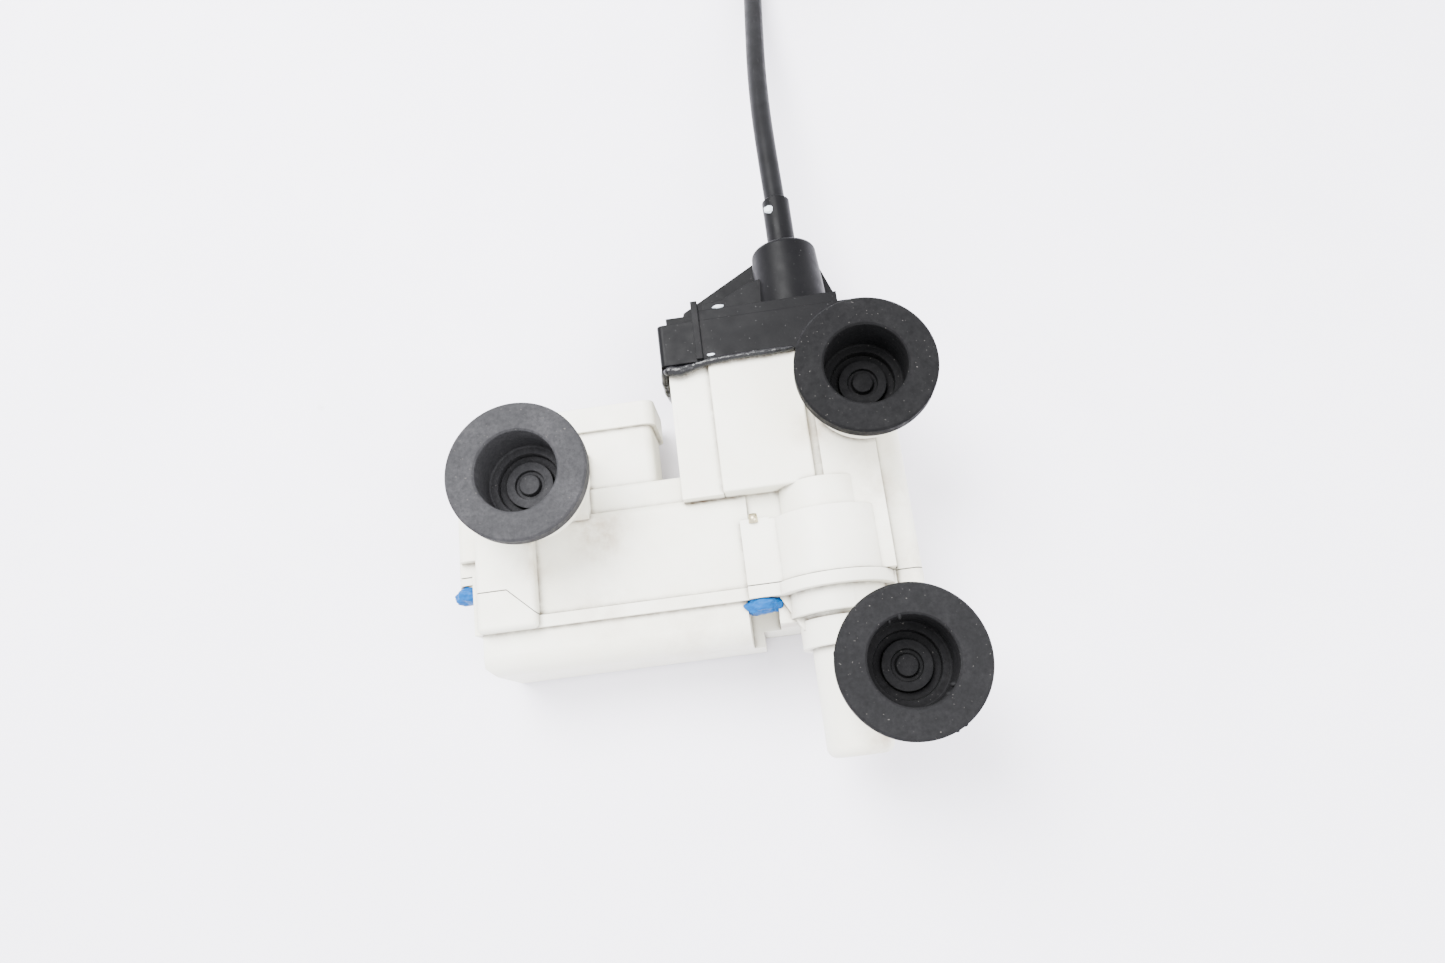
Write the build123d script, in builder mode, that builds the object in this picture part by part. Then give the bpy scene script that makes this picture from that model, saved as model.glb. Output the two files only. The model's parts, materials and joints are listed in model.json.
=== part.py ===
"""Motorised cable-pull actuator: two-shell housing, worm drive, travelling spindle and sheathed cable.

X runs along the motor, Y along the cable and Z up from the face the housing rests on. The origin is
on the resting face, where the plane between the two shells crosses the spindle's axis.
"""

import os
from math import acos, cos, pi, radians, sin, tan

from build123d import *

os.makedirs("parts", exist_ok=True)

# Housing
BODY_TOP = 29.0  # front of the motor cover
MOTOR_LEFT = -92.5
COVER_FOOT, COVER_HEAD = -14.0, 26.0  # the motor cover's ends along Y
FLANGE = 3.2  # the lower shell's joint flange, along Y
SEAM = 0.25  # the shells stand this far apart at the joint
TOWER_TOP = 62.0
TOWER_FRONT, STRIP_FRONT, PANEL_FRONT, COLUMN_FRONT = 34.5, 32.5, 33.0, 27.0
TUBE_END = -44.5
TUBE_R, COLLAR_R = 8.5, 10.8
DRUM_R, DRUM_STEP_R = 15.0, 11.7
SCREW_SHANK_R, SCREW_HEAD_R = 1.95, 3.7
# each screw: X and Z of its axis, then where the shells meet on it and where its head sits
SCREWS = ((-95.6, 22.0, 13.0, 11.0), (-18.6, 26.0, 0.0, -3.2), (20.4, 5.2, 0.0, -10.0))

# Rubber bushes: flange, groove gripped by the cup's lip, bulb and blind bore
BUSHES = {"left": (-75.2, 33.0), "upper": (14.6, 48.3), "lower": (13.7, -25.0)}
BUSH_FACE = 52.0
BUSH_R, BUSH_BORE_R, BUSH_BORE_DEPTH = 18.0, 10.5, 13.0
BUSH_NECK_R, BUSH_BULB_R = 12.0, 12.6
CUP_R, CUP_STEM_R, CUP_TOP, CUP_LIP = 15.5, 14.2, 47.5, 2.5

# Drive: worm, wheel, nut and spindle
SPINDLE_Z = 24.5
WORM_Y, WORM_Z = 6.0, 13.5
MODULE = 0.8
WHEEL_TEETH = 20
WORM_PITCH_R = SPINDLE_Z - WORM_Z - MODULE * WHEEL_TEETH / 2
WORM_LEAD = pi * MODULE
WHEEL_FACE = 8.0
PRESSURE_ANGLE = radians(20)
BACKLASH = 0.2
SPINDLE_LEAD, SPINDLE_STARTS = 10.0, 2
SPINDLE_R, SPINDLE_ROOT_R = 4.0, 3.2
RIDGE_SHARE = 0.46  # of each thread pitch, the part that is metal
THREAD_PLAY = 0.15
TRAVEL = 20.0
NUT_R = 6.0
NUT_SPAN = (-2.8, 17.0)  # along Y
CROSSHEAD = (38.0, 50.0)  # along Y, at rest
RUNNING = 0.03  # radial clearance of shafts in their bearings
SHAFT_R = 1.5

# Connector and board
PIN_ROWS = (11.5, 17.0)  # Z of each row
PIN_COLUMNS = (-64.0, -58.0, -52.0)  # X of each column
PIN_HALF = 0.35
BOARD_X = -16.0

# Motor
CAN_R, CAN_HALF = 17.8, 11.8
CAN_WALL = 1.5
CAN_LEFT, CAN_RIGHT = -88.0, -42.0
CORE_R = 9.0

# Cable
CONDUIT_R = 3.0
WIRE_R = 0.75
SLEEVE_R, SLEEVE_END = 4.0, 114.0
ROUTE = (
    (0.0, 110.0, 24.5),
    (-0.4, 134.0, 23.6),
    (0.3, 160.0, 19.6),
    (2.4, 186.0, 13.4),
    (4.6, 211.0, 6.3),
    (5.0, 234.0, 3.2),
)
COIL_CENTRE = (38.2, 249.0)
COIL_MEAN_R, COIL_TURNS = 33.0, 1.25
COIL_HEIGHT = 4 * CONDUIT_R
FERRULE_R = 3.6
FERRULE_START, FERRULE_TIP = 10.0, 39.0  # from where the coil is left
COIL_CLEAR = 16.2  # past this the straight is outside the coil
END_TRAVEL_GAP = 2.0


def save(piece, name):
    """Labels one finished piece and writes it."""
    piece.part.label = name
    export_step(piece.part, f"parts/{name}.step")


def block(x, y, z, mode=Mode.ADD):
    """A box between two corners, given as its span along each axis."""
    with Locations(((x[0] + x[1]) / 2, (y[0] + y[1]) / 2, (z[0] + z[1]) / 2)):
        Box(x[1] - x[0], y[1] - y[0], z[1] - z[0], mode=mode)


def rod(start, end, radius, mode=Mode.ADD):
    """A cylinder from one point to another."""
    axis = Vector(*end) - Vector(*start)
    with Locations(Location(Plane(origin=start, z_dir=axis))):
        Cylinder(radius, axis.length, align=(Align.CENTER, Align.CENTER, Align.MIN), mode=mode)


def rod_x(x, radius, mode=Mode.ADD, y=WORM_Y, z=WORM_Z):
    """A cylinder along X, on the motor's axis unless told otherwise."""
    rod((x[0], y, z), (x[1], y, z), radius, mode)


def rod_y(y, radius, mode=Mode.ADD, x=0.0, z=SPINDLE_Z):
    """A cylinder along Y, on the spindle's axis unless told otherwise."""
    rod((x, y[0], z), (x, y[1], z), radius, mode)


def soft_block(x, y, z, radius, along=None):
    """A box with rounded edges: all of them, or those along one axis."""
    with BuildPart() as piece:
        block(x, y, z)
        chosen = piece.edges().filter_by(along) if along else piece.edges()
        fillet(chosen, radius)
    return piece.part


def ring_y(y, inner, outer, name):
    """A plain ring on the spindle's axis."""
    with BuildPart() as piece:
        rod_y(y, outer)
        rod_y(y, inner, Mode.SUBTRACT)
    save(piece, name)


def ring_x(x, inner, outer, name):
    """A plain ring on the motor's axis."""
    with BuildPart() as piece:
        rod_x(x, outer)
        rod_x(x, inner, Mode.SUBTRACT)
    save(piece, name)


# ---- Housing shells -------------------------------------------------------------------------


def lower_region():
    """The space below the joint, which steps up at the left end and at the left screw's ear."""
    corners = (
        (-110, -60),
        (60, -60),
        (60, 0),
        (-76.8, 0),
        (-84.4, 7),
        (MOTOR_LEFT, 7),
        (MOTOR_LEFT, SCREWS[0][2]),
        (-110, SCREWS[0][2]),
    )
    with BuildPart() as region:
        with BuildSketch(Plane.XY.offset(-5)):
            with BuildLine():
                Polyline(*corners, close=True)
            make_face()
        extrude(amount=70)
    return region.part


def motor_cover():
    """The long rounded cover over the motor, with its lower left corner cut off."""
    with BuildPart() as cover:
        block((MOTOR_LEFT, -20), (COVER_FOOT, COVER_HEAD), (0, BODY_TOP))
        foot_corner = cover.edges().filter_by(Axis.Z).sort_by(Axis.X)[:2].sort_by(Axis.Y)[0]
        chamfer(foot_corner, 2.2)
        long_edges = cover.edges().filter_by(Axis.X)
        fillet(long_edges.group_by(Axis.Z)[-1].sort_by(Axis.Y)[0], 5)
        fillet(cover.edges().filter_by(Axis.X).group_by(Axis.Z)[-1].sort_by(Axis.Y)[-1], 2.5)
        fillet(cover.edges().filter_by(Axis.X).group_by(Axis.Z)[0], 2)
    return cover.part


def bush_cup(centre, base):
    """The stem and flared ring that a rubber bush is pressed into."""
    flare = CUP_R - CUP_STEM_R
    with BuildPart() as cup:
        with BuildSketch(Plane.XZ):
            with BuildLine():
                Polyline(
                    (0, base),
                    (CUP_STEM_R - 3.5, base),
                    (CUP_STEM_R - 3.5, 31),
                    (CUP_STEM_R, 34.6),
                    (CUP_STEM_R, CUP_TOP - 7),
                    (CUP_R, CUP_TOP - 7 + 1.5 * flare),
                    (CUP_R, CUP_TOP - 0.6),
                    (CUP_R - 0.6, CUP_TOP),
                    (0, CUP_TOP),
                    close=True,
                )
            make_face()
        revolve(axis=Axis.Z)
    return cup.part.moved(Location((*centre, 0)))


def bush_pocket(centre):
    """The hollow of a cup, with the lip that grips the bush's groove."""
    with BuildPart() as pocket:
        rod((*centre, 35.3), (*centre, CUP_TOP - CUP_LIP), BUSH_BULB_R + 0.2)
        rod((*centre, CUP_TOP - CUP_LIP), (*centre, BUSH_FACE), BUSH_NECK_R + 0.1)
    return pocket.part


def tower():
    """The tall block over the spindle: stepped front, side column and drum over the worm wheel."""
    column = soft_block((15.0, 23.5), (-10, TOWER_TOP), (0, COLUMN_FRONT), 3, Axis.Y)
    front = soft_block((-25.3, -1), (25, TOWER_TOP), (2, TOWER_FRONT), 0.6)
    with BuildPart() as body:
        add(column)
        add(front)
        block((-36.3, 16.0), (10, TOWER_TOP), (0, 24))
        block((-36.3, -25.3), (25, TOWER_TOP), (0, STRIP_FRONT))
        block((-25.3, 16.0), (-10, TOWER_TOP), (0, 28))
        block((-1, 1.3), (17, TOWER_TOP), (20, 31.5))
        block((1.3, 16.0), (0, TOWER_TOP), (20, PANEL_FRONT))
        rod_y((0, 17), DRUM_R)
        rod_y((17, 25.6), DRUM_STEP_R)
        rod_y((-FLANGE, 0), DRUM_R + 0.8)
        block((-22.2, -14.5), (-FLANGE, 17.5), (0, 32.0))
        block((-15, -6), (-FLANGE, 17), (20, 32.0))
        block((16.0, 16.8), (0.6, TOWER_TOP), (25, 40), Mode.SUBTRACT)
    return body.part


def lower_tube():
    """The blind tube that the spindle retracts into, with its collar, cone and webs."""
    with BuildPart() as tube:
        rod_y((TUBE_END, 0), TUBE_R, x=0.6)
        fillet(tube.edges().sort_by(Axis.Y)[0], 2.6)
        rod_y((-17.3, -10.3), COLLAR_R, x=0.6)
        with BuildSketch(Plane.XZ.offset(10.3)) as foot:
            with Locations((0.6, SPINDLE_Z)):
                Circle(COLLAR_R - 0.8)
        with BuildSketch(Plane.XZ.offset(FLANGE)) as head:
            with Locations((0.3, SPINDLE_Z)):
                Circle(COLLAR_R + 2.2)
        loft([foot.sketch, head.sketch])
        with BuildSketch(Plane.XY.offset(SPINDLE_Z - 1.2)):
            with BuildLine():
                Polyline((-14.5, -FLANGE), (-9.5, -12.5), (0, -12.5), (0, -FLANGE), close=True)
            make_face()
        extrude(amount=6)
    return tube.part


def connector_shroud():
    """The rounded plug socket with its thicker rim."""
    body = soft_block((-72, -43.8), (30, 57.0), (5, 23.5), 2.4, Axis.Y)
    rim = soft_block((-73.2, -42.5), (50.5, 57.5), (3.8, 24.7), 2.8, Axis.Y)
    with BuildPart() as shroud:
        add(body)
        add(rim)
    return shroud.part


def housing_outside():
    """Both shells' outside as one body, before it is divided and hollowed."""
    raised_end = soft_block((MOTOR_LEFT, -77), (-FLANGE, 23), (3, 33.5), 1.2)
    shelf = soft_block((-62, -36), (20, 33.5), (3, 26), 1.5, Axis.X)
    ear_wall = soft_block((-98.2, -90), (17, 30), (4, 29), 1.5, Axis.Y)
    lower_cup_base = soft_block((9, 26), (-34, -15), (12, 38), 2, Axis.Z)
    solids = [motor_cover(), raised_end, shelf, ear_wall, tower(), lower_tube(), connector_shroud()]
    solids += [bush_cup(BUSHES["left"], 3), bush_cup(BUSHES["upper"], 30)]
    solids += [bush_cup(BUSHES["lower"], 32), lower_cup_base]
    screw_x, screw_z, joint_y, seat_y = SCREWS[0]
    with BuildPart() as outside:
        for solid in solids:
            add(solid)
        block((-90, -62), (24, 44), (3, 30))
        block((MOTOR_LEFT, -20), (-FLANGE, 0), (0, 30.4))
        block((-94.3, MOTOR_LEFT + 1), (-FLANGE, joint_y), (8, 30))
        rod_y((seat_y, 19), 4.4, x=screw_x, z=screw_z)
        block((-98.6, MOTOR_LEFT), (seat_y, 18), (17.6, 26.4))
        block((-22.9, -15.2), (-14, -FLANGE), (15.5, 45), Mode.SUBTRACT)
    return outside.part


def housing_hollows():
    """Every hollow inside the two shells: motor bay, gear case, tower, tube and pockets."""
    pockets = [bush_pocket(centre) for centre in BUSHES.values()]
    with BuildPart() as hollow:
        block((-90.5, -31), (-12, 24), (1.5, 26.5))
        rod_x((-31.5, 14), 4.4)
        rod_x((-30.6, -26.4), 4.0)
        rod_y((0, 10.8), 12.6)
        rod_y((-3, 0.5), 8.0)
        rod_y((10.5, 17.5), 10.5)
        rod_y((-42, -2.5), 6.2)
        block((-34, 13.5), (17.3, TOWER_TOP + 1), (2, 26.2))
        block((-34, 13.5), (27.5, TOWER_TOP + 1), (26, 31))
        block((-8, 8), (17.3, 28), (26, 31))
        block((-32, -14), (14.5, 18.5), (7, 20))
        rod_x((13, 19.2), 3.0)
        block((-69, -33.5), (26, 31.5), (8, 21))
        block((-69, -46.5), (31, 36.5), (8, 21))
        block((-70, -45.8), (36, 58), (7, 21.5))
        block((18.0, 22.0), (16, 60), (-1, 24.5))
        for screw_x, screw_z, joint_y, seat_y in SCREWS:
            rod_y((seat_y - 0.5, joint_y + 15), 2.0, x=screw_x, z=screw_z)
            rod_y((seat_y - 5, seat_y), SCREW_HEAD_R + 0.3, x=screw_x, z=screw_z)
        for pocket in pockets:
            add(pocket)
    return hollow.part


def make_housing():
    """Divides the hollowed body into the upper and the lower shell."""
    outside = housing_outside()
    hollow = housing_hollows()
    below = lower_region()
    with BuildPart() as upper:
        add(outside)
        add(below.moved(Location((0, SEAM, 0))), mode=Mode.SUBTRACT)
        add(hollow, mode=Mode.SUBTRACT)
        block((-8, 8), (-1, 4), (-1, 1.0), Mode.SUBTRACT)
    save(upper, "upper_housing")
    with BuildPart() as lower:
        add(outside)
        add(below, mode=Mode.INTERSECT)
        block((-8, 8), (-1, 4), (0, 1.0))
        add(hollow, mode=Mode.SUBTRACT)
    save(lower, "lower_housing")


# ---- Cap, seals and bushes ------------------------------------------------------------------


def web(points, z, thickness):
    """A flat web of the cap, drawn in plan."""
    with BuildPart() as piece:
        with BuildSketch(Plane.XY.offset(z)):
            with BuildLine():
                Polyline(*points, close=True)
            make_face()
        extrude(amount=thickness)
    return piece.part


def make_cable_cap():
    """The cap that closes the tower, with the boss and webs that carry the cable's pull."""
    band = soft_block((-38, 16), (TOWER_TOP, 74), (0.8, 35.6), 1.6, Axis.Y)
    far_web = web(((-34, 76), (-31, 84), (-9, 96.5), (8.5, 96.5), (13.5, 82), (14.5, 76)), 18.5, 2.5)
    near_web = web(((-26, 76), (-25, 81.3), (-19.2, 81.9), (-11.3, 86), (0, 88), (0, 76)), 28.5, 1.8)
    with BuildPart() as boss:
        with BuildSketch(Plane.XY.offset(SPINDLE_Z)):
            with BuildLine():
                Polyline((0, 97), (0, 72), (10.8, 72), (9.3, 95.4))
                ThreePointArc((9.3, 95.4), (8.8, 96.6), (7.6, 97))
                Line((7.6, 97), (0, 97))
            make_face()
        revolve(axis=Axis((0, 0, SPINDLE_Z), (0, 1, 0)))
    with BuildPart() as cap:
        for solid in (band, far_web, near_web, boss.part):
            add(solid)
        block((-26.4, 12), (73, 77), (2.5, 35.4))
        block((-28, -26.2), (TOWER_TOP + 0.5, 79.6), (18, 36.3))
        block((-35.8, -27), (73, 79), (5, 29))
        for x in (-19.2, -11.3):
            block((x - 0.6, x + 0.6), (76, 82), (20, 30.2))
        block((-35, 13.5), (TOWER_TOP - 1, 71.5), (4, 32.5), Mode.SUBTRACT)
        rod_y((71, 98), SLEEVE_R, Mode.SUBTRACT)
        rod((*BUSHES["upper"], 28), (*BUSHES["upper"], 40), CUP_R + 0.2, Mode.SUBTRACT)
    save(cap, "cable_cap")


def make_cap_sealant():
    """The bead of sealant squeezed out between the cap and the tower."""
    with BuildPart() as bead:
        block((-36.3, -25.3), (60.6, TOWER_TOP), (STRIP_FRONT, STRIP_FRONT + 2.4))
        block((-25.3, -1), (60.9, TOWER_TOP), (TOWER_FRONT, TOWER_FRONT + 1.2))
        block((-37.8, -36.3), (59.0, TOWER_TOP), (6, STRIP_FRONT + 2.4))
    save(bead, "cap_sealant")


def make_bush(name, centre):
    """One rubber bush: flange, neck, bulb, and a stepped blind bore with a nipple at its bottom."""
    floor = BUSH_FACE - BUSH_BORE_DEPTH
    with BuildPart() as bush:
        with BuildSketch(Plane.XZ):
            with BuildLine():
                Polyline(
                    (0, 35.5),
                    (BUSH_BULB_R - 1.5, 35.5),
                    (BUSH_BULB_R, 37.5),
                    (BUSH_BULB_R, CUP_TOP - CUP_LIP - 0.1),
                    (BUSH_NECK_R, CUP_TOP - CUP_LIP - 0.1),
                    (BUSH_NECK_R, CUP_TOP + 0.05),
                    (BUSH_R - 0.6, CUP_TOP + 0.05),
                    (BUSH_R, CUP_TOP + 0.65),
                    (BUSH_R, BUSH_FACE - 0.5),
                    (BUSH_R - 0.5, BUSH_FACE),
                    (BUSH_BORE_R + 0.5, BUSH_FACE),
                    (BUSH_BORE_R, BUSH_FACE - 0.5),
                    (BUSH_BORE_R, floor + 0.4),
                    (BUSH_BORE_R - 0.4, floor),
                    (8.4, floor),
                    (8.2, floor - 2.2),
                    (6.4, floor - 2.2),
                    (6.2, floor - 0.8),
                    (4.0, floor - 0.8),
                    (3.8, floor - 1.7),
                    (3.0, floor - 1.7),
                    (2.6, floor - 0.5),
                    (0, floor - 0.1),
                    close=True,
                )
            make_face()
        revolve(axis=Axis.Z)
    bush.part = bush.part.moved(Location((*centre, 0)))
    save(bush, name)


def make_screws():
    """Three flanged pan-head screws that hold the shells together."""
    with BuildPart() as screws:
        for x, z, joint_y, seat_y in SCREWS:
            rod_y((seat_y - 1.0, seat_y), SCREW_HEAD_R, x=x, z=z)
            rod_y((seat_y - 3.0, seat_y - 1.0), SCREW_HEAD_R - 0.7, x=x, z=z)
            rod_y((seat_y, joint_y + 14), SCREW_SHANK_R, x=x, z=z)
            rod_y((joint_y + 14, joint_y + 14.9), SCREW_SHANK_R - 0.5, x=x, z=z)
        for x, z, _, seat_y in SCREWS:
            with BuildSketch(Plane(origin=(x, seat_y - 3.0, z), z_dir=(0, -1, 0))):
                RegularPolygon(1.7, 6)
            extrude(amount=-1.6, mode=Mode.SUBTRACT)
    save(screws, "housing_screws")


# ---- Connector and electronics --------------------------------------------------------------


def make_connector():
    """The pin carrier in the socket, and the pins whose tails run to the board."""
    with BuildPart() as carrier:
        block((-70, -45.8), (36, 40), (7, 21.5))
        for z in PIN_ROWS:
            for x in PIN_COLUMNS:
                block(
                    (x - PIN_HALF, x + PIN_HALF), (35, 41), (z - PIN_HALF, z + PIN_HALF), Mode.SUBTRACT
                )
    save(carrier, "connector_carrier")
    with BuildPart() as pins:
        for z in PIN_ROWS:
            for n, x in enumerate(PIN_COLUMNS):
                lead_y = 27.5 + 1.5 * n
                across = (z - PIN_HALF, z + PIN_HALF)
                block((x - PIN_HALF, x + PIN_HALF), (lead_y - PIN_HALF, 52), across)
                block((x - PIN_HALF, BOARD_X), (lead_y - PIN_HALF, lead_y + PIN_HALF), across)
    save(pins, "connector_pins")


def make_electronics():
    """The control board beside the spindle, its parts, and the strips to the motor's brushes."""
    with BuildPart() as board:
        block((BOARD_X, BOARD_X + 1.6), (20, 58), (4, 25.8))
    save(board, "control_board")
    with BuildPart() as parts:
        block((BOARD_X + 1.6, BOARD_X + 3.0), (34, 38), (21.5, 25.5))
        block((BOARD_X + 1.6, BOARD_X + 3.0), (46, 50), (21.5, 25.5))
        block((BOARD_X - 2, BOARD_X), (38, 45), (18, 25))
        block((BOARD_X - 12, BOARD_X), (46, 56), (6, 18))
        rod((BOARD_X - 9, 38, 11), (BOARD_X, 38, 11), 3.5)
        for y in (34.0, 50.0):
            block((BOARD_X - 1.2, BOARD_X), (y, y + 2.4), (22, 23.4))
    save(parts, "board_parts")
    with BuildPart() as leads:
        for z in (9.0, 17.2):
            block((-38, BOARD_X + 1.2), (15.4, 17.4), (z, z + 0.8))
            block((BOARD_X + 0.2, BOARD_X + 1.2), (15.4, 20), (z, z + 0.8))
    save(leads, "motor_leads")


# ---- Motor ----------------------------------------------------------------------------------


def can_outline(x, inset):
    """The motor's flat-sided round outline, as a sketch across its axis."""
    with BuildSketch(Plane(origin=(x, WORM_Y, WORM_Z), x_dir=(0, 1, 0), z_dir=(1, 0, 0))) as outline:
        Circle(CAN_R - inset)
        Rectangle(2 * CAN_R, 2 * (CAN_HALF - inset), mode=Mode.INTERSECT)
    return outline.sketch


def make_motor_frame():
    """The steel can, its magnets, the plastic end bell, brushes, brush springs and bearings."""
    can_end = can_outline(CAN_LEFT, 0)
    can_bore = can_outline(CAN_LEFT + CAN_WALL, CAN_WALL)
    with BuildPart() as can:
        extrude(can_end, amount=CAN_RIGHT - CAN_LEFT)
        extrude(can_bore, amount=CAN_RIGHT - CAN_LEFT, mode=Mode.SUBTRACT)
        rod_x((CAN_LEFT - 2, CAN_LEFT + CAN_WALL + 2), 4.6)
        rod_x((CAN_LEFT - 1.2, CAN_LEFT + CAN_WALL + 3), 3.0, Mode.SUBTRACT)
    save(can, "motor_can")

    magnet_bore = can_outline(-78.0, CAN_WALL)
    with BuildPart() as magnets:
        extrude(magnet_bore, amount=26)
        rod_x((-79, -51), CORE_R + 0.6, Mode.SUBTRACT)
        block((-79, -51), (WORM_Y - 7.2, WORM_Y + 7.2), (0, 27), Mode.SUBTRACT)
    save(magnets, "motor_magnets")

    bell_plate = can_outline(CAN_RIGHT, 0)
    bell_plug = can_outline(CAN_RIGHT - 2.5, CAN_WALL)
    with BuildPart() as bell:
        extrude(bell_plate, amount=3)
        extrude(bell_plug, amount=2.5)
        rod_x((CAN_RIGHT + 3, CAN_RIGHT + 5), 5)
        for side in (-1, 1):
            wall = sorted((WORM_Y + side * 11.6, WORM_Y + side * 13.2))
            block((-50, CAN_RIGHT - 2), wall, (WORM_Z - 2.2, WORM_Z + 2.2))
        rod_x((CAN_RIGHT - 3, CAN_RIGHT + 6), 3.0, Mode.SUBTRACT)
        for z in (9.0, 17.2):
            block((-38.6, -36), (15.4, 17.4), (z, z + 0.8), Mode.SUBTRACT)
    save(bell, "motor_end_bell")

    with BuildPart() as brushes:
        for side in (-1, 1):
            reach = sorted((WORM_Y + side * 4.05, WORM_Y + side * 8.0))
            block((-49, -46), reach, (WORM_Z - 1.5, WORM_Z + 1.5))
    save(brushes, "carbon_brushes")

    with BuildPart() as springs:
        for side in (-1, 1):
            leaf = sorted((WORM_Y + side * 8.0, WORM_Y + side * 8.3))
            foot = sorted((WORM_Y + side * 8.0, WORM_Y + side * 11.6))
            block((-49, -44.6), leaf, (WORM_Z - 1.2, WORM_Z + 1.2))
            block((-44.9, -44.6), foot, (WORM_Z - 1.2, WORM_Z + 1.2))
    save(springs, "brush_springs")

    ring_x((CAN_LEFT - 1.2, CAN_LEFT + 3.3), SHAFT_R + RUNNING, 3.0, "rear_bearing")
    ring_x((CAN_RIGHT - 2.2, CAN_RIGHT + 4.8), SHAFT_R + RUNNING, 3.0, "front_bearing")
    ring_x((-30.6, -26.4), SHAFT_R + RUNNING, 4.0, "shaft_bearing")
    ring_x((14.6, 17.9), SHAFT_R + RUNNING, 3.0, "worm_tip_bearing")
    with BuildPart() as pad:
        rod_x((17.9, 19.2), 3.0)
    save(pad, "thrust_pad")


def make_rotor():
    """The shaft with its armature, windings, commutator and worm."""
    with BuildPart() as shaft:
        rod_x((CAN_LEFT - 0.9, 17.8), SHAFT_R)
        chamfer(shaft.edges().filter_by(GeomType.CIRCLE), 0.3)
    save(shaft, "motor_shaft")

    slots = 5
    core_plane = Plane(origin=(-76, WORM_Y, WORM_Z), x_dir=(0, 1, 0), z_dir=(1, 0, 0))
    with BuildPart() as core:
        with BuildSketch(core_plane):
            Circle(CORE_R)
            Circle(SHAFT_R, mode=Mode.SUBTRACT)
            with PolarLocations(6.6, slots):
                Rectangle(3.6, 3.4, mode=Mode.SUBTRACT)
            with PolarLocations(8.8, slots):
                Rectangle(2.0, 1.2, mode=Mode.SUBTRACT)
        extrude(amount=24)
    save(core, "armature_core")

    with BuildPart() as windings:
        for ends in ((-79.4, -76.0), (-52.0, -49.7)):
            rod_x(ends, 8.3)
            rod_x(ends, 2.0, Mode.SUBTRACT)
        with BuildSketch(core_plane):
            with PolarLocations(6.5, slots):
                Rectangle(3.2, 3.2)
        extrude(amount=24)
    save(windings, "armature_windings")

    with BuildPart() as commutator:
        rod_x((-49.4, -45.2), 4.0)
        rod_x((-48.6, -47.4), SHAFT_R, Mode.SUBTRACT)
        rod_x((-50, -45), SHAFT_R, Mode.SUBTRACT)
        with BuildSketch(Plane(origin=(-49.0, WORM_Y, WORM_Z), x_dir=(0, 1, 0), z_dir=(1, 0, 0))):
            with PolarLocations(3.9, slots):
                Rectangle(0.8, 0.3)
        extrude(amount=5, mode=Mode.SUBTRACT)
    save(commutator, "commutator")


# ---- Worm, wheel, nut and spindle -----------------------------------------------------------


def twisted(section, plane, length, lead):
    """A right-handed helical solid: a section carried along its normal, one turn for each lead."""
    return Solid.extrude_linear_with_rotation(
        section, plane.origin, plane.z_dir * length, 360 * length / lead
    )


def tooth_half_width(radius):
    """Half the axial width of the worm's thread at a radius."""
    at_pitch = (pi * MODULE / 2 - BACKLASH) / 2
    return at_pitch - (radius - WORM_PITCH_R) * tan(PRESSURE_ANGLE)


def worm_section(plane, turn):
    """The worm cut square to its axis: an arc at the tip, an arc at the root and two spiral flanks."""
    tip, root = WORM_PITCH_R + MODULE, WORM_PITCH_R - 1.25 * MODULE

    def at(radius, side):
        angle = radians(turn) + side * 2 * pi * tooth_half_width(radius) / WORM_LEAD
        return (radius * cos(angle), radius * sin(angle))

    steps = [tip + (root - tip) * n / 6 for n in range(7)]
    tip_middle = (tip * cos(radians(turn)), tip * sin(radians(turn)))
    root_middle = (-root * cos(radians(turn)), -root * sin(radians(turn)))
    with BuildSketch(plane) as section:
        with BuildLine():
            ThreePointArc(at(tip, -1), tip_middle, at(tip, 1))
            Spline(*[at(radius, 1) for radius in steps])
            ThreePointArc(at(root, 1), root_middle, at(root, -1))
            Spline(*[at(radius, -1) for radius in reversed(steps)])
        make_face()
    return section.sketch.faces()[0]


def make_worm():
    """The single-start worm on the motor's shaft, its thread centred under the wheel."""
    half = 9.0
    plane = Plane(origin=(-half, WORM_Y, WORM_Z), x_dir=(0, 0, 1), z_dir=(1, 0, 0))
    thread = twisted(worm_section(plane, -360 * half / WORM_LEAD), plane, 2 * half, WORM_LEAD)
    with BuildPart() as worm:
        add(thread)
        rod_x((-12, -half), 2.6)
        rod_x((half, 12), 2.6)
        rod_x((-13, 13), SHAFT_R, Mode.SUBTRACT)
    save(worm, "worm")


def half_tooth(radius):
    """Half the angle that one involute tooth of the wheel takes at a radius."""
    pitch_r = MODULE * WHEEL_TEETH / 2
    base_r = pitch_r * cos(PRESSURE_ANGLE)
    at_pitch = (pi * MODULE / 2 - BACKLASH) / 2 / pitch_r
    pressure = acos(min(1.0, base_r / radius))
    return at_pitch + (tan(PRESSURE_ANGLE) - PRESSURE_ANGLE) - (tan(pressure) - pressure)


def tooth_section(plane, turn):
    """One tooth of the worm wheel, half a tooth pitch from the point under the wheel."""
    pitch_r = MODULE * WHEEL_TEETH / 2
    tip, root = pitch_r + 0.95 * MODULE, pitch_r - 1.25 * MODULE
    middle = -pi / 2 + pi / WHEEL_TEETH + radians(turn)

    def at(radius, side):
        angle = middle + side * half_tooth(radius)
        return (radius * cos(angle), radius * sin(angle))

    flank = (root, pitch_r, (pitch_r + tip) / 2, tip)
    with BuildSketch(plane) as section:
        with BuildLine():
            Spline(*[at(radius, -1) for radius in flank])
            Line(at(tip, -1), at(tip, 1))
            Spline(*[at(radius, 1) for radius in reversed(flank)])
            Line(at(root, 1), at(root, -1))
        make_face()
    return section.sketch.faces()[0]


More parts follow.
